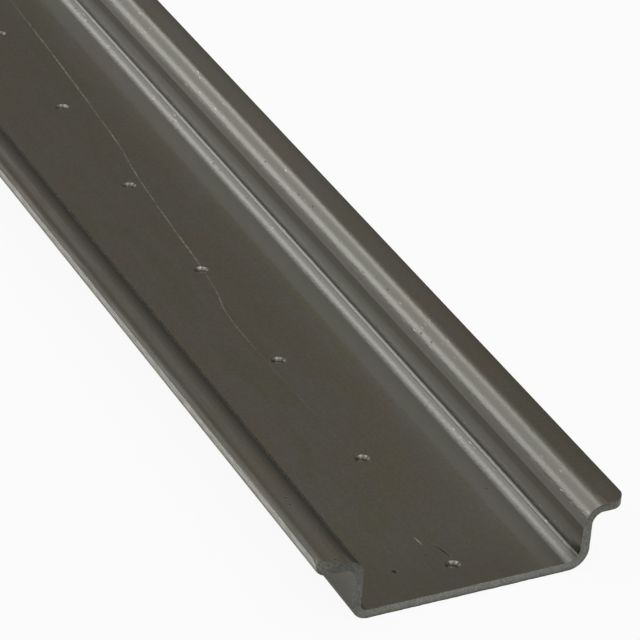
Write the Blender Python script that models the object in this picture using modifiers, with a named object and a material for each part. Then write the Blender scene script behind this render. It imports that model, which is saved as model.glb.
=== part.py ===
"""Top-hat mounting rail, 35 mm wide and 7.5 mm high, roll-formed from one steel strip.

The strip is modelled the way it is formed: a flat web, folded up into two walls and
folded out again into two lips, with the real bend radii. A row of punched marks runs
along the middle of the web, where the holes for the fixing screws are drilled. One end
is cropped by a hand shear, a few degrees out of square, and the other is sawn square.

Run it with: blender --background --python part.py
Units are metres. X runs across the rail, Y along it and Z up, away from the panel that
the rail is screwed to. The origin is the middle of the web's underside.
"""

import math

import bmesh
import bpy
from mathutils import Matrix, Vector

# The rail
RAIL_LENGTH = 1.000
OVERALL_WIDTH = 0.035
OUTER_WEB_WIDTH = 0.0272
RAIL_HEIGHT = 0.0075
STRIP_THICKNESS = 0.001

# Radii on the inside of each bend
WEB_BEND_RADIUS = 0.00125
LIP_BEND_RADIUS = 0.00125
BEND_SEGMENTS = 8

# The sheared end: its cut is askew seen from above, and it leans outwards towards the lips
SHEAR_SKEW = math.radians(5.9)
SHEAR_LEAN = math.radians(8.5)

# The shear leaves the left lip's corner nearly sharp and rounds the right one off
LEFT_CORNER_RADIUS = 0.0006
RIGHT_CORNER_RADIUS = 0.0020
CORNER_SEGMENTS = 6

# Rounding of the strip's own edges, along the lips and around both cut ends
EDGE_RADIUS = 0.00015
EDGE_SEGMENTS = 3

# The row of punched marks on the web
MARK_PITCH = 0.025
FIRST_MARK_FROM_END = 0.0077
MARK_DIAMETER = 0.0016
MARK_FLOOR_DIAMETER = 0.0009
MARK_DEPTH = 0.00028
MARK_SIDES = 16

# The strip is drawn this far past the cut, and a punch starts this far above the web
CUT_ALLOWANCE = 0.0002

STEEL_COLOUR = (0.086, 0.080, 0.069, 1.0)
STEEL_ROUGHNESS = 0.38

# The middle surface of the strip: its web, its walls and its lips
WEB_Z = STRIP_THICKNESS / 2
LIP_Z = RAIL_HEIGHT - STRIP_THICKNESS / 2
WALL_X = OUTER_WEB_WIDTH / 2 - STRIP_THICKNESS / 2
LIP_X = OVERALL_WIDTH / 2


def clear_scene():
    """Removes what the start-up file holds."""
    for old in list(bpy.data.objects):
        bpy.data.objects.remove(old, do_unlink=True)


def make_collection(name):
    """A collection linked to the scene."""
    collection = bpy.data.collections.new(name)
    bpy.context.scene.collection.children.link(collection)
    return collection


def bare_steel():
    """Mill-finish cold-rolled steel, dark under a film of oil."""
    material = bpy.data.materials.new("bare_steel")
    material.use_nodes = True
    shader = material.node_tree.nodes["Principled BSDF"]
    shader.inputs["Base Color"].default_value = STEEL_COLOUR
    shader.inputs["Metallic"].default_value = 1.0
    shader.inputs["Roughness"].default_value = STEEL_ROUGHNESS
    return material


def draw_half_section(shape):
    """The right half of the section, with sharp corners, drawn out along Y."""
    start_y = -RAIL_LENGTH / 2 - CUT_ALLOWANCE
    corners = [(0.0, WEB_Z), (WALL_X, WEB_Z), (WALL_X, LIP_Z), (LIP_X, LIP_Z)]
    points = [shape.verts.new((x, start_y, z)) for x, z in corners]
    section = [shape.edges.new(pair) for pair in zip(points, points[1:])]
    drawn = bmesh.ops.extrude_edge_only(shape, edges=section)
    far_points = [item for item in drawn["geom"] if isinstance(item, bmesh.types.BMVert)]
    bmesh.ops.translate(shape, verts=far_points, vec=(0.0, RAIL_LENGTH + CUT_ALLOWANCE, 0.0))


def fold(shape, fold_z, inside_radius):
    """Bends the sheet along the line where the wall meets the web or the lip."""
    line = Vector((WALL_X, 0.0, fold_z))
    near = STRIP_THICKNESS / 4
    edges = [
        edge
        for edge in shape.edges
        if all((v.co.xz - line.xz).length < near for v in edge.verts)
    ]
    bmesh.ops.bevel(
        shape,
        geom=edges,
        offset=inside_radius + STRIP_THICKNESS / 2,
        offset_type="OFFSET",
        segments=BEND_SEGMENTS,
        profile=0.5,
        affect="EDGES",
    )


def crop_with_shear(shape):
    """Cuts the first end off along the shear's slanting blade."""
    slant = Vector((-math.tan(SHEAR_SKEW), 1.0, math.tan(SHEAR_LEAN)))
    bmesh.ops.bisect_plane(
        shape,
        geom=shape.verts[:] + shape.edges[:] + shape.faces[:],
        plane_co=(-LIP_X, -RAIL_LENGTH / 2, LIP_Z),
        plane_no=slant.normalized(),
        clear_inner=True,
    )


def round_lip_corner(shape, side, radius):
    """Rounds the corner that the shear leaves on one lip; side is -1 or 1."""
    lip_edge = [v for v in shape.verts if abs(v.co.x - side * LIP_X) < EDGE_RADIUS]
    corner = min(lip_edge, key=lambda v: v.co.y)
    bmesh.ops.bevel(
        shape,
        geom=[corner],
        offset=radius,
        offset_type="OFFSET",
        segments=CORNER_SEGMENTS,
        profile=0.5,
        affect="VERTICES",
    )


def folded_strip():
    """The middle surface of the whole strip, folded, cropped and with its corners rounded."""
    shape = bmesh.new()
    draw_half_section(shape)
    fold(shape, WEB_Z, WEB_BEND_RADIUS)
    fold(shape, LIP_Z, LIP_BEND_RADIUS)
    everything = shape.verts[:] + shape.edges[:] + shape.faces[:]
    bmesh.ops.mirror(shape, geom=everything, axis="X", merge_dist=0.00001)
    crop_with_shear(shape)
    round_lip_corner(shape, -1, LEFT_CORNER_RADIUS)
    round_lip_corner(shape, 1, RIGHT_CORNER_RADIUS)
    bmesh.ops.recalc_face_normals(shape, faces=shape.faces)
    mesh = bpy.data.meshes.new("rail_strip")
    shape.to_mesh(mesh)
    shape.free()
    mesh.shade_smooth()
    return mesh


def mark_punch():
    """One tapered punch with a flat nose, its nose at the mark's floor."""
    widening = (MARK_DIAMETER - MARK_FLOOR_DIAMETER) / 2 / MARK_DEPTH
    shape = bmesh.new()
    bmesh.ops.create_cone(
        shape,
        cap_ends=True,
        segments=MARK_SIDES,
        radius1=MARK_FLOOR_DIAMETER / 2,
        radius2=MARK_DIAMETER / 2 + CUT_ALLOWANCE * widening,
        depth=MARK_DEPTH + CUT_ALLOWANCE,
        matrix=Matrix.Translation((0, 0, STRIP_THICKNESS + (CUT_ALLOWANCE - MARK_DEPTH) / 2)),
    )
    mesh = bpy.data.meshes.new("mark_punch")
    shape.to_mesh(mesh)
    shape.free()
    return mesh


def make_mark_cutter(collection):
    """The whole row of punches, one for each mark that fits on the rail."""
    room = RAIL_LENGTH - FIRST_MARK_FROM_END - MARK_DIAMETER
    cutter = bpy.data.objects.new("mark_punches", mark_punch())
    cutter.location.y = FIRST_MARK_FROM_END - RAIL_LENGTH / 2
    row = cutter.modifiers.new("row_of_marks", "ARRAY")
    row.count = 1 + math.floor(room / MARK_PITCH)
    row.use_relative_offset = False
    row.use_constant_offset = True
    row.constant_offset_displace = (0.0, MARK_PITCH, 0.0)
    cutter.hide_render = True
    cutter.display_type = "WIRE"
    collection.objects.link(cutter)
    return cutter


def make_rail(collection, cutter):
    """The finished rail: the folded strip given its thickness, its edges and its marks."""
    rail = bpy.data.objects.new("din_rail", folded_strip())
    collection.objects.link(rail)
    rail.data.materials.append(bare_steel())

    strip = rail.modifiers.new("strip_thickness", "SOLIDIFY")
    strip.thickness = STRIP_THICKNESS
    strip.offset = 0.0
    strip.use_even_offset = True
    strip.use_quality_normals = True

    edges = rail.modifiers.new("rounded_edges", "BEVEL")
    edges.width = EDGE_RADIUS
    edges.segments = EDGE_SEGMENTS
    edges.limit_method = "ANGLE"
    edges.angle_limit = math.radians(60)
    edges.harden_normals = True

    marks = rail.modifiers.new("punched_marks", "BOOLEAN")
    marks.operation = "DIFFERENCE"
    marks.solver = "EXACT"
    marks.object = cutter
    return rail


def main():
    clear_scene()
    rail_collection = make_collection("din_rail")
    cutters = make_collection("cutters")
    cutter = make_mark_cutter(cutters)
    make_rail(rail_collection, cutter)


main()
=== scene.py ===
# %% [markdown]
# A top-hat mounting rail, dressed.
# The rail is one strip of steel, 1 mm thick, that rolls have folded into a flat channel with two lips.
# The solid that comes with the frame has its section, its row of marks and its sheared end.
# This lesson builds the surface that the eye sees: fine bends, worn edges, pressed marks and bare steel.
# We could only repaint the solid, but its bends are faceted, and bare metal shows every facet.

# %% Load the rail's frame
import math

import bmesh
import bpy
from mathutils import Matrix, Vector


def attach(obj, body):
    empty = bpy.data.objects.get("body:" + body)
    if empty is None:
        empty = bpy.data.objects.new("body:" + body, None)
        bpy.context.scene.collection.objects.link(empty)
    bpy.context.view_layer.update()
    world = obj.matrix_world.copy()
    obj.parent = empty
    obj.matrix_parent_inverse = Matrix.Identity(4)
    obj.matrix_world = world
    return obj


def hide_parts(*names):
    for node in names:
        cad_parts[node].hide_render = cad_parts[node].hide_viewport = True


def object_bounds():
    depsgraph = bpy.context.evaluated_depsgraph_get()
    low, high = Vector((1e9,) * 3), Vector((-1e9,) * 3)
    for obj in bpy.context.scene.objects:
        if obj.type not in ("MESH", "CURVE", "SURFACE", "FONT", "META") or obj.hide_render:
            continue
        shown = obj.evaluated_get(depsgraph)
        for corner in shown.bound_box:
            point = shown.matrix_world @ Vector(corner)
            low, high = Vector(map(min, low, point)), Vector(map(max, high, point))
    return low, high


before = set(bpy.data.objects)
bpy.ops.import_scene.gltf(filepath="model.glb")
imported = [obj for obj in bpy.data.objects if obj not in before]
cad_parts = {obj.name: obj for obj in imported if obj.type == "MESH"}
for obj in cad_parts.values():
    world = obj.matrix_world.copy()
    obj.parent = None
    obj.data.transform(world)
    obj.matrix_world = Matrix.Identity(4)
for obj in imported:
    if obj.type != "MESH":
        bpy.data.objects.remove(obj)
cad_low, cad_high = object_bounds()
bpy.ops.object.select_all(action="DESELECT")

# %% [markdown]
# The camera stands low beside the near end and looks along the rail.
# A long lens half a metre away keeps the two lips almost parallel, as in a product photograph.
# We could aim it with a constraint, but three plain angles are easier to read and to repeat.

# %% Place the camera
CAMERA_PLACE = (-0.1774, -0.8986, 0.2415)
CAMERA_TILT = 64.31
CAMERA_ROLL = -1.02
CAMERA_TURN = -21.28
CAMERA_LENS = 277.5
CAMERA_NEAREST = 0.01

camera_data = bpy.data.cameras.new("long_lens")
camera_data.lens = CAMERA_LENS
camera_data.clip_start = CAMERA_NEAREST
camera = bpy.data.objects.new("camera", camera_data)
camera.location = CAMERA_PLACE
camera.rotation_euler = [math.radians(a) for a in (CAMERA_TILT, CAMERA_ROLL, CAMERA_TURN)]
bpy.context.scene.collection.objects.link(camera)
bpy.context.scene.camera = camera
print("camera at", tuple(camera.location), "with a lens of", CAMERA_LENS, "mm")

# %% [markdown]
# The strip starts flat, as it does in the rolling mill, and is folded into a top-hat section.
# Its middle surface is drawn first: a plane for the web, and two extrusions each side for wall and lip.
# Solidify then gives it its 1 mm, half to each side, with sharp corners.
# It closes each end with five faces, and a limited dissolve makes them one.
# We could draw the section as a curve, but a sheet keeps one wall thickness by itself, as real strip does.

# %% Draw the folded strip
MM = 0.001
WIDTH = 35.0 * MM
WEB_WIDTH = 27.2 * MM
HEIGHT = 7.5 * MM
THICKNESS = 1.0 * MM
LENGTH = 1000.0 * MM
WEB_Z = THICKNESS / 2
LIP_Z = HEIGHT - THICKNESS / 2
WALL_X = (WEB_WIDTH - THICKNESS) / 2
LIP_X = WIDTH / 2
FAR_Y = cad_high.y
NEAR_Y = FAR_Y - LENGTH
HAIR = 0.02 * MM
FLAT_LIMIT = math.radians(1)


def select_where(kind, test):
    """Selects the VERT, EDGE or FACE items whose corners all pass the test, and counts them."""
    bpy.ops.mesh.select_mode(type=kind)
    bpy.ops.mesh.select_all(action="DESELECT")
    shape = bmesh.from_edit_mesh(bpy.context.edit_object.data)
    items = {"VERT": shape.verts, "EDGE": shape.edges, "FACE": shape.faces}[kind]
    chosen = 0
    for item in items:
        corners = [item] if kind == "VERT" else item.verts
        if all(test(corner.co) for corner in corners):
            item.select_set(True)
            chosen += 1
    shape.select_flush_mode()
    bmesh.update_edit_mesh(bpy.context.edit_object.data)
    return chosen


def apply_modifier(piece, kind, **settings):
    """Adds one modifier to a piece, sets it and applies it."""
    bpy.context.view_layer.objects.active = piece
    modifier = piece.modifiers.new(kind.lower(), kind)
    for name, value in settings.items():
        setattr(modifier, name, value)
    bpy.ops.object.modifier_apply(modifier=modifier.name)


bpy.ops.mesh.primitive_plane_add(size=1, location=(0, (NEAR_Y + FAR_Y) / 2, WEB_Z))
rail = bpy.context.object
rail.name = "rolled_strip"
rail.scale = (2 * WALL_X, LENGTH, 1)
bpy.ops.object.transform_apply(location=True, rotation=True, scale=True)
bpy.ops.object.mode_set(mode="EDIT")
for side in (-1, 1):
    select_where("EDGE", lambda p: abs(p.x - side * WALL_X) < HAIR)
    bpy.ops.mesh.extrude_region_move(TRANSFORM_OT_translate={"value": (0, 0, LIP_Z - WEB_Z)})
    bpy.ops.mesh.extrude_region_move(TRANSFORM_OT_translate={"value": (side * (LIP_X - WALL_X), 0, 0)})
bpy.ops.mesh.select_all(action="SELECT")
bpy.ops.mesh.normals_make_consistent(inside=False)
bpy.ops.object.mode_set(mode="OBJECT")
apply_modifier(rail, "SOLIDIFY", thickness=THICKNESS, offset=0.0, use_even_offset=True)
bpy.ops.object.mode_set(mode="EDIT")
bpy.ops.mesh.select_all(action="SELECT")
bpy.ops.mesh.dissolve_limited(angle_limit=FLAT_LIMIT)
bpy.ops.object.mode_set(mode="OBJECT")
print("folded strip with", len(rail.data.polygons), "faces")

# %% [markdown]
# A fold has two radii, one inside and one outside, and rolled strip isn't even from side to side:
# both bends of the left side are folded tighter than those of the right.
# We could bevel all the folds at once, but then they would be alike, so each gets a bevel of its own.
# Sixteen segments to a quarter turn keep a reflection smooth at the distance of the camera.

# %% Bend the corners
BEND_SEGMENTS = 16
INNER_X = WALL_X - THICKNESS / 2
OUTER_X = WALL_X + THICKNESS / 2
INNER_WEB_RADIUS = {-1: 0.9 * MM, 1: 1.7 * MM}
OUTER_WEB_RADIUS = {-1: 1.95 * MM, 1: 2.25 * MM}
LIP_TOP_RADIUS = {-1: 1.8 * MM, 1: 2.5 * MM}
LIP_UNDER_RADIUS = {-1: 1.0 * MM, 1: 1.25 * MM}


def bend(side, fold_x, fold_z, radius):
    """Rounds the fold line at one place in the section; side is -1 for left or 1 for right."""
    select_where("EDGE", lambda p: abs(side * p.x - fold_x) < HAIR and abs(p.z - fold_z) < HAIR)
    bpy.ops.mesh.bevel(
        offset=radius, offset_type="OFFSET", segments=BEND_SEGMENTS, profile=0.5, affect="EDGES"
    )


bpy.ops.object.mode_set(mode="EDIT")
for side in (-1, 1):
    bend(side, INNER_X, THICKNESS, INNER_WEB_RADIUS[side])
    bend(side, OUTER_X, 0, OUTER_WEB_RADIUS[side])
    bend(side, INNER_X, HEIGHT, LIP_TOP_RADIUS[side])
    bend(side, OUTER_X, HEIGHT - THICKNESS, LIP_UNDER_RADIUS[side])
bpy.ops.object.mode_set(mode="OBJECT")
print("bent strip with", len(rail.data.polygons), "faces")

# %% [markdown]
# A hand shear has cropped the near end: its cut is askew from above and leans towards the camera at the top.
# One bisect along the blade does that, and fills the end.
# The blade tore a slanting wedge off the left lip's corner as it met it, which is a second bisect.
# The right lip's corner is dragged round, so it gets a wide bevel.
# We could subtract a block instead, but a bisect needs no cutter and leaves no extra faces.

# %% Shear the near end
SHEAR_SKEW = math.radians(5.9)
SHEAR_LEAN = math.radians(8.5)
BLADE_BACK = 0.06 * MM
WEDGE_TOP = 2.1 * MM
WEDGE_FOOT = 0.6 * MM
WEDGE_WIDTH = 2.6 * MM
LEFT_CORNER = 0.4 * MM
RIGHT_CORNER = 2.0 * MM
CORNER_SEGMENTS = 8
blade_point = Vector((-LIP_X, NEAR_Y + BLADE_BACK, HEIGHT))
blade = Vector((-math.tan(SHEAR_SKEW), 1.0, math.tan(SHEAR_LEAN))).normalized()


def behind_blade(point):
    """How far a point lies behind the shear's cut, in metres."""
    return (point - blade_point).dot(blade)


def on_blade(x, z, back):
    """The point of the cut at one place across the rail, moved back along it."""
    y = blade_point.y + ((x - blade_point.x) * -blade.x - (z - blade_point.z) * blade.z) / blade.y
    return Vector((x, y + back, z))


def cut_off(point, direction):
    """Cuts off everything in front of a plane and closes the cut."""
    bpy.ops.mesh.select_all(action="SELECT")
    bpy.ops.mesh.bisect(plane_co=point, plane_no=direction, use_fill=True, clear_inner=True)


def round_corner(side, radius):
    """Rounds the sheared corner of one lip: the bevel takes the short edge through its thickness."""
    reach = WEDGE_TOP if side < 0 else HAIR
    select_where("EDGE", lambda p: abs(p.x - side * LIP_X) < HAIR and behind_blade(p) < reach)
    bpy.ops.mesh.bevel(
        offset=radius, offset_type="OFFSET", segments=CORNER_SEGMENTS, profile=0.5, affect="EDGES"
    )


wedge_top = on_blade(-LIP_X, HEIGHT, WEDGE_TOP)
wedge_foot = on_blade(-LIP_X, HEIGHT - THICKNESS, WEDGE_FOOT)
wedge_end = on_blade(WEDGE_WIDTH - LIP_X, HEIGHT, 0)
wedge = (wedge_foot - wedge_top).cross(wedge_end - wedge_top).normalized()
wedge = wedge if wedge.y > 0 else -wedge
bpy.ops.object.mode_set(mode="EDIT")
cut_off(blade_point, blade)
cut_off(wedge_top, wedge)
round_corner(-1, LEFT_CORNER)
round_corner(1, RIGHT_CORNER)
bpy.ops.object.mode_set(mode="OBJECT")
print("sheared strip with", len(rail.data.polygons), "faces, its wedge facing", [round(c, 2) for c in wedge])

# %% [markdown]
# A sheared edge is never quite straight, and a straight edge needs points close together to be made ragged.
# So more bisects score a short band behind the cut, and only that band: first across the rail, then upwards.
# We could subdivide the whole strip, but nine tenths of its points would then lie on flat metal.

# %% Score the band behind the cut
CUT_BAND = 2.6 * MM
STRIP_STEP = 0.35 * MM
MARK_STRIP = 1.5 * MM
ACROSS = Vector((1, 0, 0))
UPWARD = Vector((0, 0, 1))


def score_band(direction, start, end):
    """Bisects the band behind the cut at even steps along one direction."""
    for i in range(int((end - start) / STRIP_STEP)):
        select_where("FACE", lambda p: behind_blade(p) < CUT_BAND + HAIR)
        bpy.ops.mesh.bisect(plane_co=direction * (start + STRIP_STEP * (i + 0.5)), plane_no=direction)


bpy.ops.object.mode_set(mode="EDIT")
for place, direction in (
    (blade_point + blade * CUT_BAND, blade),
    (ACROSS * MARK_STRIP, ACROSS),
    (-ACROSS * MARK_STRIP, ACROSS),
):
    bpy.ops.mesh.select_all(action="SELECT")
    bpy.ops.mesh.bisect(plane_co=place, plane_no=direction)
score_band(ACROSS, -LIP_X, LIP_X)
score_band(UPWARD, 0, HEIGHT)
bpy.ops.object.mode_set(mode="OBJECT")
print("scored strip with", len(rail.data.polygons), "faces")

# %% [markdown]
# The edges of the forming rolls have pressed two fine lines into the right-hand bend, all along the rail.
# They catch the light as a bright hair between two dark ones.
# We could paint them, but a groove made by a bevel of one line of edges keeps its glint from every side.

# %% Press the rolls' lines into the right bend
# Each line has its step up the bend, its half width and its depth.
CREASES = ((8, 0.06 * MM, 0.045 * MM), (10, 0.13 * MM, 0.1 * MM))
RIGHT_RADIUS = INNER_WEB_RADIUS[1]
BEND_CENTRE = Vector((INNER_X - RIGHT_RADIUS, 0, THICKNESS + RIGHT_RADIUS))


def press_line(step, half_width, depth):
    """Presses one groove along the line of edges that is so many segments up the bend."""
    turn = math.radians(90) * step / BEND_SEGMENTS
    outward = Vector((math.sin(turn), 0, -math.cos(turn)))
    line = BEND_CENTRE + outward * RIGHT_RADIUS

    def near_line(reach):
        return lambda p: Vector((p.x - line.x, 0, p.z - line.z)).length < reach

    select_where("EDGE", near_line(HAIR))
    bpy.ops.mesh.bevel(offset=half_width, offset_type="OFFSET", segments=2, affect="EDGES")
    select_where("VERT", near_line(HAIR))
    bpy.ops.transform.translate(value=outward * depth)
    pressed = select_where("EDGE", near_line(half_width + HAIR / 2))
    bpy.ops.mesh.mark_sharp()
    return pressed


bpy.ops.object.mode_set(mode="EDIT")
for step, half_width, depth in CREASES:
    print("a pressed line of", press_line(step, half_width, depth), "edges")
bpy.ops.object.mode_set(mode="OBJECT")

# %% [markdown]
# Real strip has no razor edge: slitting and shearing leave a small round of about a tenth of a millimetre.
# A bevel on every sharp edge makes it, and it catches the thin highlights that say metal.
# We could pick those edges one by one, but a limit of 60 degrees finds them all, and keeps off the
# bends and the pressed lines.

# %% Soften the strip's own edges
EDGE_RADIUS = 0.12 * MM
EDGE_SEGMENTS = 3
EDGE_LIMIT = math.radians(60)

apply_modifier(
    rail, "BEVEL", width=EDGE_RADIUS, segments=EDGE_SEGMENTS, limit_method="ANGLE", angle_limit=EDGE_LIMIT
)
print("softened strip with", len(rail.data.polygons), "faces")

# %% [markdown]
# The shear tears the last part of the strip, so its cut face is wavy and its rim is ragged.
# Displace with a cloud texture moves the points of the cut inwards only, by up to 0.14 mm.
# We could shake the points at random, but a texture keeps neighbours together, as a tear does.

# %% Make the cut ragged
TEAR_DEPTH = 0.14 * MM
TEAR_SIZE = 0.8 * MM
TEAR_DETAIL = 2
TEAR_BAND = 0.15 * MM

torn = rail.vertex_groups.new(name="torn")
torn_points = [v.index for v in rail.data.vertices if behind_blade(v.co) < TEAR_BAND]
torn.add(torn_points, 1.0, "REPLACE")
tear = bpy.data.textures.new("tear", "CLOUDS")
tear.noise_scale = TEAR_SIZE
tear.noise_depth = TEAR_DETAIL
apply_modifier(
    rail,
    "DISPLACE",
    texture=tear,
    texture_coords="LOCAL",
    direction="Y",
    mid_level=0.0,
    strength=TEAR_DEPTH,
    vertex_group="torn",
)
print(len(torn_points), "points of the cut are torn")

# %% [markdown]
# Each mark is a shallow ring pressed by a hollow punch, 1.7 mm across, with a small boss left in its middle.
# The punch is a cone whose nose is inset twice, by a third and two thirds of the ring, and pushed back up.
# It is shaken a little differently for each mark, because no two are alike.
# We could cut the marks one at a time, but one Boolean with all the punches joined is much quicker.

# %% Press the row of marks
MARK_PITCH = 25.0 * MM
FIRST_MARK = 7.7 * MM
MARK_RADIUS = 0.84 * MM
MARK_FLOOR_RADIUS = 0.54 * MM
MARK_DEPTH = 0.3 * MM
BOSS_RADIUS = 0.15 * MM
BOSS_RISE = 0.1 * MM
ABOVE = 0.06 * MM
MARK_SHAKE = 0.025 * MM
PUNCH_SIDES = 28


def make_punch(place_y, number):
    """One hollow punch, standing in the web at its mark."""
    widening = (MARK_RADIUS - MARK_FLOOR_RADIUS) / MARK_DEPTH
    bpy.ops.mesh.primitive_cone_add(
        vertices=PUNCH_SIDES,
        radius1=MARK_FLOOR_RADIUS,
        radius2=MARK_RADIUS + ABOVE * widening,
        depth=MARK_DEPTH + ABOVE,
        location=(0, place_y, THICKNESS + (ABOVE - MARK_DEPTH) / 2),
        rotation=(0, 0, number),
    )
    bpy.ops.object.transform_apply(location=True, rotation=True, scale=True)
    bpy.ops.object.mode_set(mode="EDIT")
    select_where("FACE", lambda p: p.z < THICKNESS - MARK_DEPTH + HAIR)
    flat_ring = (MARK_FLOOR_RADIUS - BOSS_RADIUS) / 3
    bpy.ops.mesh.inset(thickness=flat_ring, depth=0)
    bpy.ops.mesh.inset(thickness=2 * flat_ring, depth=0)
    bpy.ops.transform.translate(value=(0, 0, BOSS_RISE))
    bpy.ops.mesh.select_all(action="SELECT")
    bpy.ops.transform.vertex_random(offset=MARK_SHAKE, uniform=1.0, normal=0.0, seed=number + 1)
    bpy.ops.object.mode_set(mode="OBJECT")
    return bpy.context.object


mark_count = 1 + int((LENGTH - FIRST_MARK - 2 * MARK_RADIUS) / MARK_PITCH)
punches = [make_punch(NEAR_Y + FIRST_MARK + MARK_PITCH * i, i) for i in range(mark_count)]
bpy.ops.object.select_all(action="DESELECT")
for punch in punches:
    punch.select_set(True)
bpy.context.view_layer.objects.active = punches[0]
bpy.ops.object.join()
row_of_punches = bpy.context.object
apply_modifier(rail, "BOOLEAN", operation="DIFFERENCE", solver="EXACT", object=row_of_punches)
bpy.data.objects.remove(row_of_punches)
print(mark_count, "marks pressed, the rail now has", len(rail.data.polygons), "faces")

# %% [markdown]
# Rolled metal has no facets, so the bends must shade as one surface while the flat faces stay flat.
# Smooth shading alone would let the bends darken the flats beside them.
# Weighted normals give the large faces the say, and edges of more than 25 degrees stay crisp.

# %% Smooth the shading
CRISP_LIMIT = math.radians(25)

rail.select_set(True)
bpy.context.view_layer.objects.active = rail
bpy.ops.object.shade_smooth_by_angle(angle=CRISP_LIMIT, keep_sharp_edges=True)
apply_modifier(rail, "WEIGHTED_NORMAL", mode="FACE_AREA", keep_sharp=True)
print("smooth rail with", len(rail.data.vertices), "points")

# %% [markdown]
# Colours are written as the hex values that a picture editor shows, and turned to linear light here.
# One small function adds a node with its settings and links, so that each line of a material says one thing.
# Every pattern is laid out in millimetres of the rail, because its scale then comes from the real thing.
# We could lay the nodes out by hand in the shader editor, but a script can be read, repeated and changed.

# %% Helpers for materials
# The places of a Mix node's two colours among its inputs, and of its colour among its outputs.
MIX_A = 6
MIX_B = 7
MIX_COLOUR = 2


def linear(code):
    """The linear colour of an sRGB hex code such as #4d4a41."""
    parts = [int(code[i : i + 2], 16) / 255 for i in (1, 3, 5)]
    return [c / 12.92 if c < 0.04045 else ((c + 0.055) / 1.055) ** 2.4 for c in parts] + [1.0]


def add(tree, kind, values=None, links=None, **settings):
    """Adds one node with its settings, its socket values and what its sockets are linked from."""
    made = tree.nodes.new(kind)
    for name, value in settings.items():
        setattr(made, name, value)
    for socket, value in (values or {}).items():
        made.inputs[socket].default_value = value
    for socket, source in (links or {}).items():
        tree.links.new(source, made.inputs[socket])
    return made


def new_material(name):
    """A material, its tree and its Principled shader."""
    material = bpy.data.materials.new(name)
    material.use_nodes = True
    return material, material.node_tree, material.node_tree.nodes["Principled BSDF"]


def ramp(low, high, start=0.0, end=1.0):
    """The values of a Map Range node that turns low to high into start to end."""
    return {"From Min": low, "From Max": high, "To Min": start, "To Max": end}


def millimetres(tree):
    """The place on the rail in millimetres, measured from the middle of the web's underside."""
    place = add(tree, "ShaderNodeTexCoord").outputs["Object"]
    return add(tree, "ShaderNodeVectorMath", {"Scale": 1 / MM}, {0: place}, operation="SCALE").outputs[0]


def per_mm(wide, long, high):
    """The scale of a pattern whose features are so many millimetres wide, long and high."""
    return (1 / wide, 1 / long, 1 / high)


def trace(curve_node, points):
    """Gives a Float Curve its points: both ends are there already and move, and the rest are added."""
    curve = curve_node.mapping.curves[0]
    for place, value in points[1:-1]:
        curve.points.new(place, value)
    curve.points[0].location = points[0]
    curve.points[-1].location = points[-1]
    curve_node.mapping.update()


print("a middle grey in linear light is", [round(c, 3) for c in linear("#808080")])

# %% [markdown]
# The surface is cold-rolled mild steel with its mill finish: no zinc and no paint, only a film of oil.
# It is darker than polished steel, and the oil leaves faint brown, olive and grey patches.
# The rolls leave streaks along the length, drawn here 0.8 mm wide, coarser than real, so that they show.
# The grit is 0.3 mm wide and 0.5 mm long, and the wear 0.35 mm wide and 9 mm long, which is coarser
# than real as well.
# We could paint one even grey, but then the long reflections would have nothing to break them.

# %% Mill-finish steel: patches, streaks, grit and wear
OLIVE = "#918f7e"
GREY = "#939087"
BROWN = "#968e7f"
OLIVE_BELOW = 0.42
GREY_AT = 0.5
BROWN_ABOVE = 0.6
PATCH_SIZE = per_mm(7.0, 22.0, 7.0)
STREAK_SIZE = per_mm(0.8, 120.0, 0.8)
GRIT_SIZE = per_mm(0.3, 0.5, 0.3)
WEAR_SIZE = per_mm(0.35, 9.0, 0.35)
STREAK_CONTRAST = 0.015
GRIT_CONTRAST = 0.08
# Most of a noise pattern lies between these two values.
NOISE_RANGE = (0.3, 0.7)

steel, tree, shader = new_material("mill_finish_steel")
rail_mm = millimetres(tree)
patch_place = add(tree, "ShaderNodeMapping", {"Scale": PATCH_SIZE}, {"Vector": rail_mm})
patches = add(tree, "ShaderNodeTexNoise", {"Scale": 1.0, "Detail": 3.0}, {"Vector": patch_place.outputs[0]})
streak_place = add(tree, "ShaderNodeMapping", {"Scale": STREAK_SIZE}, {"Vector": rail_mm})
streaks = add(tree, "ShaderNodeTexNoise", {"Scale": 1.0, "Detail": 3.0}, {"Vector": streak_place.outputs[0]})
grit_place = add(tree, "ShaderNodeMapping", {"Scale": GRIT_SIZE}, {"Vector": rail_mm})
grit = add(tree, "ShaderNodeTexNoise", {"Scale": 1.0, "Detail": 2.0}, {"Vector": grit_place.outputs[0]})
wear_place = add(tree, "ShaderNodeMapping", {"Scale": WEAR_SIZE}, {"Vector": rail_mm})
wear = add(tree, "ShaderNodeTexNoise", {"Scale": 1.0, "Detail": 3.0}, {"Vector": wear_place.outputs[0]})

oil = add(tree, "ShaderNodeValToRGB", links={"Fac": patches.outputs["Fac"]})
oil.color_ramp.elements[0].position = OLIVE_BELOW
oil.color_ramp.elements[0].color = linear(OLIVE)
oil.color_ramp.elements[1].position = BROWN_ABOVE
oil.color_ramp.elements[1].color = linear(BROWN)
oil.color_ramp.elements.new(GREY_AT).color = linear(GREY)

toned = oil.outputs["Color"]
for pattern, contrast in ((streaks, STREAK_CONTRAST), (grit, GRIT_CONTRAST)):
    tones = ramp(*NOISE_RANGE, 1 - contrast, 1 + contrast)
    tone = add(tree, "ShaderNodeMapRange", tones, {"Value": pattern.outputs["Fac"]}).outputs[0]
    toned = add(tree, "ShaderNodeVectorMath", links={0: toned, "Scale": tone}, operation="SCALE").outputs[0]
print("patches, streaks, grit and wear are laid out")

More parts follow.
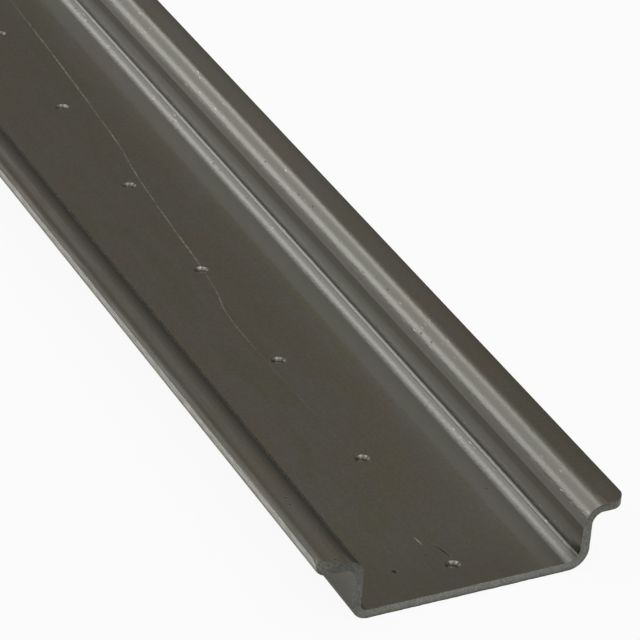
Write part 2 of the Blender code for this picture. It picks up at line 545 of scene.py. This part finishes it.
# %% [markdown]
# Wear, dirt, painted light and painted shade keep to zones of the section, such as the foot of a wall or the
# edge of a lip.
# A zone is a few soft limits, multiplied together: how far across the rail, how far along it and how high.
# A zone's share says how strong it gets, and masks such as wear break it up.
# A place is in a bend where its normal slants, so that neither its X nor its Z is nothing.
# We could paint the zones on by hand, but limits that follow the section stay right along the rail.

# %% Mill-finish steel: how a zone is made
CUT_Y = NEAR_Y / MM
BEND_SLOPE = (0.02, 0.3)

split = add(tree, "ShaderNodeSeparateXYZ", links={0: rail_mm})
across, along, up = split.outputs["X"], split.outputs["Y"], split.outputs["Z"]
facing = add(tree, "ShaderNodeSeparateXYZ", links={0: add(tree, "ShaderNodeTexCoord").outputs["Normal"]})
slope = add(
    tree, "ShaderNodeMath", links={0: facing.outputs["X"], 1: facing.outputs["Z"]}, operation="MULTIPLY"
)
steep = add(tree, "ShaderNodeMath", links={0: slope.outputs[0]}, operation="ABSOLUTE")
bent = add(tree, "ShaderNodeMapRange", ramp(*BEND_SLOPE), {"Value": steep.outputs[0]}).outputs[0]


def together(*masks):
    """Several masks multiplied: a place counts only as far as all of them let it."""
    product = masks[0]
    for mask in masks[1:]:
        product = add(tree, "ShaderNodeMath", links={0: product, 1: mask}, operation="MULTIPLY").outputs[0]
    return product


def zone(share, *limits, within=()):
    """A soft-edged zone at a share of full strength, inside its limits and inside other masks.

    A limit is a measure, its value where the zone begins and its value where the zone is full.
    """
    edges = []
    for measure, begins, full in limits:
        values = ramp(begins, full, 0.0, share)
        edge = add(tree, "ShaderNodeMapRange", values, {"Value": measure}, interpolation_type="SMOOTHSTEP")
        edges.append(edge.outputs[0])
        share = 1.0
    return together(*within, *edges)


def strongest(*masks):
    """Several masks laid over each other: at each place the strongest one counts."""
    most = masks[0]
    for mask in masks[1:]:
        most = add(tree, "ShaderNodeMath", links={0: most, 1: mask}, operation="MAXIMUM").outputs[0]
    return most


on_lip = zone(1.0, (up, 6.5, 7.0))
on_web = zone(1.0, (up, 3.0, 2.0))
in_wall = zone(1.0, (across, 12.0, 12.3), (up, 2.1, 2.3))
# Four masks that break the zones up: by wear, by grit, and twice by the distance from the cut.
worn, speckled, handled, farther = [
    add(tree, "ShaderNodeMapRange", values, {"Value": source}).outputs[0]
    for source, values in (
        (wear.outputs["Fac"], ramp(0.35, 0.65, 0.5, 1.0)),
        (grit.outputs["Fac"], ramp(0.35, 0.6, 0.45, 1.0)),
        (along, ramp(CUT_Y, CUT_Y + 160, 0.2, 1.0)),
        (along, ramp(CUT_Y + 60, CUT_Y + 190, 0.62, 1.0)),
    )
]
print("the cut is at", round(CUT_Y, 2), "mm along the rail")

# %% [markdown]
# Where the rolls and the stacked rails rub, the steel is clearer and greyer: a band of the web beside the
# right-hand bend, and the foot of the right wall. Both are also painted lighter, as a painted reflection of
# each in the other. Painted highlights widen the bright bands: the foot of the right bend, a stripe along the
# right wall, and very faintly the top of the right lip. The left lip's outer edge is rubbed and carries a
# painted highlight, with a fainter rubbed stripe beside it.
# We could give these zones one strength, but two keep the quiet bands apart from the bright lines.

# %% Mill-finish steel: rubbed zones, painted reflection and painted highlights
# Partly rubbed steel and partly a painted reflection: the web band and the wall foot are painted lighter.
web_band_rubbed_and_reflected = zone(0.55, (across, 8.2, 8.7), within=[on_web])
wall_foot_rubbed_and_reflected = zone(0.65, (up, 3.6, 2.6), within=[in_wall])
rubbed_and_reflected = strongest(web_band_rubbed_and_reflected, wall_foot_rubbed_and_reflected)

# Painted highlights at the foot of the right bend, along the right wall and at the top of the right lip.
highlight_at_bend_foot = zone(
    0.75, (across, 10.75, 11.0), (across, 11.9, 11.5), (up, 2.0, 1.8), within=[speckled]
)
highlight_on_wall = zone(0.9, (up, 4.9, 5.15), (up, 6.2, 5.9), within=[in_wall])
# The left lip's edge is rubbed and also carries a painted highlight; the stripe beside it is rubbed.
left_lip_edge_rub_and_highlight = zone(0.8, (across, -16.5, -17.2), within=[on_lip, worn])
left_lip_stripe = zone(
    0.6, (across, -14.9, -15.5), (across, -16.6, -15.9), within=[on_lip, worn, handled]
)
highlight_on_right_lip = zone(0.25, (across, 14.6, 15.2), (along, CUT_Y + 10, CUT_Y + 120), within=[on_lip])
polished_and_highlights = strongest(highlight_at_bend_foot, highlight_on_wall, left_lip_edge_rub_and_highlight, left_lip_stripe, highlight_on_right_lip)
print("rubbed and polished zones are laid out")

# %% [markdown]
# The steel is darkened in a few zones. The left bend and the right lip towards its outer edge get painted
# shade, the middle of the right wall a painted dark reflection, and the last of the web before the cut is
# grimy.
# The groove in the right bend and the floors of the marks get painted shade, darker still, in the colour
# of the dirt in the pits.
# We could darken them all alike, but the hollows are darker than the bends.

# %% Mill-finish steel: grime and painted shade
# Painted shade in the left bend and along the right lip, a painted dark reflection in the wall; the web's end
# is grime.
shaded_left_bend = zone(0.7, (across, -14.9, -14.45), (across, -12.2, -12.6))
grimy_web_end = zone(0.3, (along, CUT_Y + 16, CUT_Y + 3), within=[on_web])
shaded_right_lip = zone(0.35, (across, 16.0, 17.5), within=[on_lip])
shaded_right_edge = zone(0.9, (across, 17.2, 17.45), within=[on_lip])
dark_reflection_in_wall = zone(1.0, (up, 3.5, 4.1), (up, 5.1, 4.95), within=[in_wall, farther])
grime_and_shade = strongest(shaded_left_bend, grimy_web_end, shaded_right_lip, shaded_right_edge, dark_reflection_in_wall)

# Painted shade: the groove in the right bend and the floors of the marks are darkened where shade falls.
groove = zone(0.7, (across, 11.9, 12.1), (up, 1.66, 1.74), (up, 2.02, 1.9))
from_middle = add(tree, "ShaderNodeMath", links={0: across}, operation="ABSOLUTE").outputs[0]
mark_floor = zone(0.6, (up, 0.5, 0.6), (up, 0.9, 0.78), (from_middle, 0.62, 0.52))
print("grimy and dirty zones are laid out")

# %% [markdown]
# One light scratch wanders down the web where something was dragged over it. It starts faintly behind the
# second mark, is clearest from 80 to 150 mm from the cut, and is gone at 185 mm.
# A curve of eleven points gives its place across the rail for each place along it.
# Its line is broken up by the grit and deeper here and there, as a real scratch is.
# We could cut it in the mesh, but it is a fifth of a millimetre wide, so a colour and a bump are enough.

# %% Mill-finish steel: the long scratch
# Each point is its distance from the cut and its place across the rail, in millimetres.
SCRATCH_PATH = [
    (56, -1.3), (68, -1.4), (77, -0.3), (85, 0.35), (96, 0.9),
    (104, 1.4), (112, 2.0), (119, 2.75), (127, 3.2), (154, 4.4), (185, 5.3),
]
SCRATCH_REACH = 200.0
SCRATCH_LOW = -2.0
SCRATCH_SPAN = 10.0
SCRATCH_CORE = 0.04
SCRATCH_EDGE = 0.13
# Where it starts, clears and ends, in millimetres from the cut, and how high the top of the web is.
STARTS = (34, 42)
CLEARS = (60, 80)
ENDS = (150, 185)
ON_TOP = (0.5, 0.9)
# The values of two patterns between which it grows to its full strength.
BROKEN_BY_GRIT = (0.38, 0.55)
DEEPER_IN_WEAR = (0.42, 0.58)

from_cut = add(tree, "ShaderNodeMath", {1: CUT_Y}, {0: along}, operation="SUBTRACT").outputs[0]
progress = add(tree, "ShaderNodeMath", {1: SCRATCH_REACH}, {0: from_cut}, operation="DIVIDE")
path = add(tree, "ShaderNodeFloatCurve", links={"Value": progress.outputs[0]})
trace(path, [(end / SCRATCH_REACH, (place - SCRATCH_LOW) / SCRATCH_SPAN) for end, place in SCRATCH_PATH])
path_values = ramp(0, 1, SCRATCH_LOW, SCRATCH_LOW + SCRATCH_SPAN)
path_place = add(tree, "ShaderNodeMapRange", path_values, {"Value": path.outputs[0]})
aside = add(tree, "ShaderNodeMath", links={0: across, 1: path_place.outputs[0]}, operation="SUBTRACT")
distance = add(tree, "ShaderNodeMath", links={0: aside.outputs[0]}, operation="ABSOLUTE").outputs[0]
scratch_parts = [
    add(tree, "ShaderNodeMapRange", values, {"Value": source}).outputs[0]
    for source, values in (
        (distance, ramp(SCRATCH_CORE, SCRATCH_EDGE, 1.0, 0.0)),
        (from_cut, ramp(*STARTS)),
        (from_cut, ramp(*CLEARS, 0.2, 1.0)),
        (from_cut, ramp(*ENDS, 1.0, 0.0)),
        (grit.outputs["Fac"], ramp(*BROKEN_BY_GRIT, 0.25, 1.0)),
        (wear.outputs["Fac"], ramp(*DEEPER_IN_WEAR, 0.4, 1.0)),
        (up, ramp(*ON_TOP)),
    )
]
scratch = together(*scratch_parts)
print("the scratch has", len(path.mapping.curves[0].points), "points")

# %% [markdown]
# Near the cut the web has small scuffs from handling: a light and a dark hair, a dent and a chip.
# Each is a soft ellipse: a Mapping node in texture mode moves it to its place and stretches it.
# We could scatter them with a pattern, but these four sit in known places beside the first mark.

# %% Mill-finish steel: scuffs
def scuff(centre, turn, half_length, half_width):
    """A soft ellipse on the web, in millimetres from the middle and from the cut, turned in degrees."""
    flat = add(tree, "ShaderNodeVectorMath", {1: (1, 1, 0)}, {0: rail_mm}, operation="MULTIPLY")
    lie = {
        "Location": (centre[0], CUT_Y + centre[1], 0),
        "Rotation": (0, 0, math.radians(turn)),
        "Scale": (half_width, half_length, 1),
    }
    place = add(tree, "ShaderNodeMapping", lie, {"Vector": flat.outputs[0]}, vector_type="TEXTURE")
    reach = add(tree, "ShaderNodeVectorMath", links={0: place.outputs[0]}, operation="LENGTH")
    soft = add(tree, "ShaderNodeMapRange", ramp(0.5, 1.0, 1.0, 0.0), {"Value": reach.outputs["Value"]})
    return soft.outputs[0]


light_hair = scuff((-1.45, 13.5), 6, 1.1, 0.1)
dark_hair = scuff((0.15, 10.8), 12, 2.1, 0.12)
dent = scuff((-6.2, 8.3), 0, 0.5, 0.35)
chip = scuff((2.65, 2.4), 80, 0.5, 0.2)
print("four scuffs are placed")

# %% [markdown]
# The whole surface has tiny dark pits, up to a third of a millimetre across, and darker near the cut.
# They come from a Voronoi pattern, of which only the very middle of some cells is kept.
# A second, finer one paints glints on the right-hand bends: small painted highlights in their stretched skin.
# We could use noise for both, but noise makes clouds, and a pit has a place and an edge.

# %% Mill-finish steel: pits and glints
PIT_SPACING = per_mm(1.7, 1.7, 1.7)
PIT_CORE = 0.05
PIT_RIM = 0.1
# Each cell has a value of its own: below the first there is no pit, and above the second a full one.
PIT_CHANCE = (0.4, 0.9)
# Where the pits fade a little, in millimetres from the cut.
PIT_FADE = (10, 60)
GLINT_SPACING = per_mm(0.3, 1.4, 0.3)
# How far a glint reaches in its cell, which cells and which oil patches have one, and how far across the
# rail the right-hand bends begin, in millimetres.
GLINT_REACH = (0.34, 0.12)
GLINT_CHANCE = (0.72, 1.0)
GLINT_PATCHES = (0.45, 0.6)
RIGHT_BENDS = (8.0, 9.0)

pit_place = add(tree, "ShaderNodeMapping", {"Scale": PIT_SPACING}, {"Vector": rail_mm})
cells = add(tree, "ShaderNodeTexVoronoi", {"Scale": 1.0}, {"Vector": pit_place.outputs[0]})
cell_kind = add(tree, "ShaderNodeSeparateColor", links={0: cells.outputs["Color"]})
pit_parts = [
    add(tree, "ShaderNodeMapRange", values, {"Value": source}).outputs[0]
    for source, values in (
        (cells.outputs["Distance"], ramp(PIT_CORE, PIT_RIM, 1.0, 0.0)),
        (cell_kind.outputs[0], ramp(*PIT_CHANCE)),
        (from_cut, ramp(*PIT_FADE, 1.0, 0.7)),
    )
]
pits = strongest(together(*pit_parts), dark_hair, dent, chip)

glint_place = add(tree, "ShaderNodeMapping", {"Scale": GLINT_SPACING}, {"Vector": rail_mm})
facets = add(tree, "ShaderNodeTexVoronoi", {"Scale": 1.0}, {"Vector": glint_place.outputs[0]})
facet_kind = add(tree, "ShaderNodeSeparateColor", links={0: facets.outputs["Color"]})
# Painted highlights: the glints take the scratch's light colour.
glints = zone(
    1.0,
    (facets.outputs["Distance"], *GLINT_REACH),
    (facet_kind.outputs[0], *GLINT_CHANCE),
    (patches.outputs["Fac"], *GLINT_PATCHES),
    (across, *RIGHT_BENDS),
    within=[bent],
)
bright = strongest(scratch, light_hair, glints)
print("pits and glints are placed")

# %% [markdown]
# The masks now come together, each with its own colour, from the widest zone to the smallest speck.
# Scratches lighten the steel because they show it clean, and pits hold dirt, so they are also duller.
# The polished zones are brushed a little duller too, by many fine scratches.
# We could give the metal one roughness, but streaks that change it by half a hundredth break up a glare.

# %% Mill-finish steel: colour and roughness
BEND_GREY = "#97968f"
RUBBED_AND_REFLECTED = "#a0a09c"
POLISHED_AND_HIGHLIGHT = "#c8c8c3"
GRIME_AND_SHADE = "#77746c"
SCRATCHED_AND_GLINTS = "#e2e0d8"
DIRT_AND_SHADE = "#4e4a42"
ROUGHNESS = 0.3
STREAK_GLOSS = 0.005
PIT_DULLNESS = 0.2
POLISHED_DULLNESS = 0.15

colour = toned
even_bend = zone(0.8, (bent, 0.0, 1.0))
even_wall = zone(0.8, (up, 7.2, 6.6), within=[in_wall])
# Painted light among these: a painted reflection in the rubbed zones, painted highlights in the polished
# zones and glints, and painted shade in the grime and in the hollows.
for tint, mask in (
    (BEND_GREY, strongest(even_bend, even_wall)),
    (RUBBED_AND_REFLECTED, rubbed_and_reflected),
    (POLISHED_AND_HIGHLIGHT, polished_and_highlights),
    (GRIME_AND_SHADE, grime_and_shade),
    (SCRATCHED_AND_GLINTS, bright),
    (DIRT_AND_SHADE, strongest(pits, groove, mark_floor)),
):
    mixed = add(tree, "ShaderNodeMix", {MIX_B: linear(tint)}, {0: mask, MIX_A: colour}, data_type="RGBA")
    colour = mixed.outputs[MIX_COLOUR]

gloss = ramp(*NOISE_RANGE, ROUGHNESS - STREAK_GLOSS, ROUGHNESS + STREAK_GLOSS)
dull = add(tree, "ShaderNodeMapRange", gloss, {"Value": streaks.outputs["Fac"]}).outputs[0]
for mask, dullness in ((pits, PIT_DULLNESS), (polished_and_highlights, POLISHED_DULLNESS)):
    dull = add(tree, "ShaderNodeMath", {1: dullness}, {0: mask, 2: dull}, operation="MULTIPLY_ADD").outputs[0]

shader.inputs["Metallic"].default_value = 1.0
tree.links.new(colour, shader.inputs["Base Color"])
tree.links.new(dull, shader.inputs["Roughness"])
print("colour and roughness are joined")

# %% [markdown]
# The rough surface is several heights added up, all in millimetres: the orange peel of the bends, where the
# skin was stretched, then streaks, grit, pits and scratches.
# The bump's distance of 1 mm in metres turns them into real heights.
# We could displace the mesh, but a hundredth of a millimetre only shows in how it catches the light.

# %% Mill-finish steel: relief
PEEL_SIZE = per_mm(0.3, 0.6, 0.3)
PEEL_HEIGHT = 0.013
STREAK_HEIGHT = 0.0006
GRIT_HEIGHT = 0.0014
PIT_DEPTH = -0.03
SCRATCH_DEPTH = -0.008

peel_place = add(tree, "ShaderNodeMapping", {"Scale": PEEL_SIZE}, {"Vector": rail_mm})
peel = add(tree, "ShaderNodeTexNoise", {"Scale": 1.0, "Detail": 1.0}, {"Vector": peel_place.outputs[0]})
peel_rise = add(tree, "ShaderNodeMath", {1: PEEL_HEIGHT}, {0: peel.outputs["Fac"]}, operation="MULTIPLY")
in_bends = add(tree, "ShaderNodeMath", links={0: peel_rise.outputs[0], 1: bent}, operation="MULTIPLY")
height = in_bends.outputs[0]
for source, size in (
    (streaks.outputs["Fac"], STREAK_HEIGHT),
    (grit.outputs["Fac"], GRIT_HEIGHT),
    (pits, PIT_DEPTH),
    (bright, SCRATCH_DEPTH),
):
    total = add(tree, "ShaderNodeMath", {1: size}, {0: source, 2: height}, operation="MULTIPLY_ADD")
    height = total.outputs[0]
relief = add(tree, "ShaderNodeBump", {"Strength": 1.0, "Distance": MM}, {"Height": height})
tree.links.new(relief.outputs[0], shader.inputs["Normal"])
print("mill-finish steel has", len(tree.nodes), "nodes")

# %% [markdown]
# A sheared face is steel torn open: a finely speckled grey, lightest low on the web and darker towards the
# top.
# Painted shade darkens it on the left wall and lip, and a painted shadow runs along its foot.
# Its rounded rim, where it faces up or to the left, is painted lighter as a highlight. The slit edges of the
# strip are rubbed by hands and other rails, with streaks 2.5 mm long and a quarter of a millimetre wide, and
# carry a painted highlight along their upper half, with painted shade below it.
# All are bare steel as well, so we could mask them inside the first material, but a small material of its own
# for each is easier to read, and their edges are sharp.

# %% Sheared steel, rubbed rim and slit steel
# Each tone is a height in millimetres and the brightness painted there: on the cut a painted shadow at its
# foot, and on the slit edge a painted highlight on its upper half with painted shade below.
TOP = HEIGHT / MM
SHEARED_TONES = ((0.04, 0.45), (0.2, 0.92), (0.6, 1.05), (1.3, 0.92), (4.5, 0.8), (TOP, 0.55))
SLIT_TONES = ((0, 0.6), (6.5, 0.5), (6.8, 0.72), (7.05, 1.0), (TOP, 1.0))
EVEN_TONES = ((0, 1.0), (TOP, 1.0))
# Where the painted shade on the left wall and lip sets in, in millimetres across the rail.
LEFT_SIDE = (-12.3, -12.8)
DARK_BELOW = 0.4
LIGHT_ABOVE = 0.62


def mottled_steel_with_painted_light(name, dark, light, size, relief_mm, roughness, tones, left_shade=1.0):
    """Bare steel mottled between two colours.

    Its tones paint light and shade by its height, and painted shade on the left wall and lip.
    """
    material, tree, shader = new_material(name)
    rail_mm = millimetres(tree)
    place = add(tree, "ShaderNodeMapping", {"Scale": size}, {"Vector": rail_mm})
    mottle = add(tree, "ShaderNodeTexNoise", {"Scale": 1.0, "Detail": 4.0}, {"Vector": place.outputs[0]})
    colour = add(tree, "ShaderNodeValToRGB", links={"Fac": mottle.outputs["Fac"]})
    colour.color_ramp.elements[0].position = DARK_BELOW
    colour.color_ramp.elements[0].color = linear(dark)
    colour.color_ramp.elements[1].position = LIGHT_ABOVE
    colour.color_ramp.elements[1].color = linear(light)
    split = add(tree, "ShaderNodeSeparateXYZ", links={0: rail_mm})
    share = add(tree, "ShaderNodeMapRange", ramp(0, TOP), {"Value": split.outputs["Z"]})
    by_height = add(tree, "ShaderNodeFloatCurve", links={"Value": share.outputs[0]})
    trace(by_height, [(up_mm * MM / HEIGHT, brightness) for up_mm, brightness in tones])
    side_tones = ramp(*LEFT_SIDE, 1.0, left_shade)
    by_side = add(tree, "ShaderNodeMapRange", side_tones, {"Value": split.outputs["X"]})
    toned = colour.outputs["Color"]
    for tone in (by_height, by_side):
        links = {0: toned, "Scale": tone.outputs[0]}
        toned = add(tree, "ShaderNodeVectorMath", links=links, operation="SCALE").outputs[0]
    bump = add(tree, "ShaderNodeBump", {"Distance": relief_mm * MM}, {"Height": mottle.outputs["Fac"]})
    tree.links.new(toned, shader.inputs["Base Color"])
    tree.links.new(bump.outputs[0], shader.inputs["Normal"])
    shader.inputs["Metallic"].default_value = 1.0
    shader.inputs["Roughness"].default_value = roughness
    return material


sheared = mottled_steel_with_painted_light(
    "sheared_steel",
    "#8d8d87",
    "#a6a6a0",
    size=per_mm(0.24, 0.24, 0.24),
    relief_mm=0.018,
    roughness=0.4,
    tones=SHEARED_TONES,
    left_shade=0.78,
)
# The rim is painted lighter, as a highlight, where it faces up or to the left.
rim = mottled_steel_with_painted_light(
    "rim_painted_highlight",
    "#8d8d85",
    "#b2b2aa",
    size=per_mm(0.4, 0.4, 0.4),
    relief_mm=0.02,
    roughness=0.34,
    tones=EVEN_TONES,
)
# The slit edges carry a painted highlight on their upper half and painted shade below it.
slit = mottled_steel_with_painted_light(
    "slit_steel",
    "#b8b6ad",
    "#dedcd4",
    size=per_mm(0.25, 2.5, 0.2),
    relief_mm=0.012,
    roughness=0.34,
    tones=SLIT_TONES,
)
print("three more steels:", sheared.name, rim.name, slit.name)

# %% [markdown]
# Each face now takes one of the four steels, by where it lies and which way it faces.
# The later rules win: the cut goes over the slit edges, and the rim of the cut over the cut.
# We could pick the faces by hand, but a rule still holds when a size changes.
# The dressed rail then rides on the frame's only body and stands for its solid.

# %% Give each face its steel
SHEARED = 1
SLIT = 2
RIM = 3
END_REACH = 2.3 * MM
RIM_REACH = 0.35 * MM
FACING = 0.3
RIM_TILT_LEAST = 0.15
RIM_TILT_MOST = 0.9
RIM_UPWARD = 0.2
SAME_AS_WEDGE = 0.98

rail.data.materials.clear()
for finish in (steel, sheared, slit, rim):
    rail.data.materials.append(finish)


def finish_faces(slot, test):
    """Gives one material slot to the faces whose middle and normal pass the test, and counts them."""
    count = 0
    for face in rail.data.polygons:
        if test(face.center, face.normal):
            face.material_index = slot
            count += 1
    return count


def on_slit_edge(centre, normal):
    """Whether a face is on the outer edge of a lip."""
    return abs(centre.x) > LIP_X - EDGE_RADIUS and abs(normal.x) > FACING


def on_cut(centre, normal):
    """Whether a face is on the sheared end or on the wedge's tear."""
    return behind_blade(centre) < END_REACH and -normal.dot(blade) > FACING


def on_rim(centre, normal):
    """Whether a face is on the rounded rim of the cut, where it faces up or to the left."""
    return (
        behind_blade(centre) < RIM_REACH
        and RIM_TILT_LEAST < -normal.dot(blade) < RIM_TILT_MOST
        and normal.z - centre.x / LIP_X > RIM_UPWARD
        and abs(normal.dot(wedge)) < SAME_AS_WEDGE
    )


def on_far_end(centre, normal):
    """Whether a face is on the square end, away from the camera."""
    return centre.y > FAR_Y - EDGE_RADIUS and normal.y > FACING


for slot, test in ((SLIT, on_slit_edge), (SHEARED, on_cut), (RIM, on_rim), (SHEARED, on_far_end)):
    print(finish_faces(slot, test), "faces of", rail.data.materials[slot].name)

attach(rail, "root")
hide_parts("din_rail")

# %% [markdown]
# The rail lies on a plain white table, so the picture has no horizon.
# The floor's white is its own colour for the camera and for reflections, mixed with a little real shading,
# which keeps the rail's soft shadow. We could light it brighter, but that would wash out the steel.

# %% Lay the floor
FLOOR_SIZE = 6.0
GLOW_SHARE = 0.93
MIRRORED_SHARE = 0.14
TABLE_WHITE = "#f2f2f0"
TABLE_ROUGHNESS = 0.9

bpy.ops.mesh.primitive_plane_add(size=FLOOR_SIZE, location=(0, 0, 0))
floor = bpy.context.object
floor.name = "floor"
table, tree, shader = new_material("white_table")
shader.inputs["Base Color"].default_value = linear(TABLE_WHITE)
shader.inputs["Roughness"].default_value = TABLE_ROUGHNESS
light_path = add(tree, "ShaderNodeLightPath")
seen = add(
    tree, "ShaderNodeMath", {1: GLOW_SHARE}, {0: light_path.outputs["Is Camera Ray"]}, operation="MULTIPLY"
)
for kind in ("Is Glossy Ray", "Is Transmission Ray"):
    seen = add(
        tree,
        "ShaderNodeMath",
        {1: MIRRORED_SHARE},
        {0: light_path.outputs[kind], 2: seen.outputs[0]},
        operation="MULTIPLY_ADD",
    )
glow = add(tree, "ShaderNodeEmission", {"Color": (1, 1, 1, 1), "Strength": 1.0})
mixed = add(
    tree,
    "ShaderNodeMixShader",
    links={0: seen.outputs[0], 1: shader.outputs[0], 2: glow.outputs[0]},
)
tree.links.new(mixed.outputs[0], tree.nodes["Material Output"].inputs["Surface"])
floor.data.materials.append(table)
print("the floor is", FLOOR_SIZE, "m wide")

# %% [markdown]
# Bare metal shows the room around it, so the room is half the material.
# The photograph was taken in a dim, warm room with a window ahead on the left, which draws the bright
# bands in the bends. The flat web looks at the dim wall ahead on the right instead.
# Five soft area lamps stand in for that, so no highlight has a hard edge.
# We could light it with a picture of a room, but a lamp can be put just where a highlight needs it.

# %% Light the room
WALL_FOOT = (0.06, 0.058, 0.054, 1)
WALL_TOP = (0.141, 0.133, 0.116, 1)
CEILING = (0.8, 0.8, 0.8, 1)
WALL_TOP_AT = 0.45
AIM = Vector((0, -0.42, 0))

world = bpy.data.worlds.new("dim_room")
world.use_nodes = True
bpy.context.scene.world = world
room = world.node_tree
skyward = add(room, "ShaderNodeSeparateXYZ", links={0: add(room, "ShaderNodeTexCoord").outputs["Generated"]})
shade = add(room, "ShaderNodeValToRGB", links={"Fac": skyward.outputs["Z"]})
shade.color_ramp.elements[0].color = WALL_FOOT
shade.color_ramp.elements[1].color = CEILING
shade.color_ramp.elements.new(WALL_TOP_AT).color = WALL_TOP
room.links.new(shade.outputs["Color"], room.nodes["Background"].inputs["Color"])


def soft_box(name, turn, rise, distance, width, height, radiance):
    """A lamp aimed at the near end: turn and rise are degrees to the left of ahead and above the floor."""
    lamp = bpy.data.lights.new(name, "AREA")
    lamp.shape = "RECTANGLE"
    lamp.size = width
    lamp.size_y = height
    lamp.energy = radiance * width * height * math.pi
    box = bpy.data.objects.new(name, lamp)
    turned, raised = math.radians(turn), math.radians(rise)
    toward = Vector(
        (-math.sin(turned) * math.cos(raised), math.cos(turned) * math.cos(raised), math.sin(raised))
    )
    box.location = AIM + toward * distance
    box.rotation_euler = (-toward).to_track_quat("-Z", "Y").to_euler()
    bpy.context.scene.collection.objects.link(box)


soft_box("window", 15, 21, 3.0, 2.2, 1.9, 0.5)
soft_box("left_pane", 31, 11, 2.9, 0.6, 0.95, 1.5)
soft_box("back_pane", 0, 32, 2.9, 0.5, 0.5, 1.3)
soft_box("over_left", 84, 52, 2.5, 1.0, 1.0, 1.2)
soft_box("over_right", -149, 58, 2.5, 1.0, 1.0, 1.2)
print(len(bpy.data.lights), "lamps")

# %% [markdown]
# The view transform is Standard, so that a colour in the picture is the colour that the material gives.

# %% Finish
bpy.context.scene.view_settings.view_transform = "Standard"
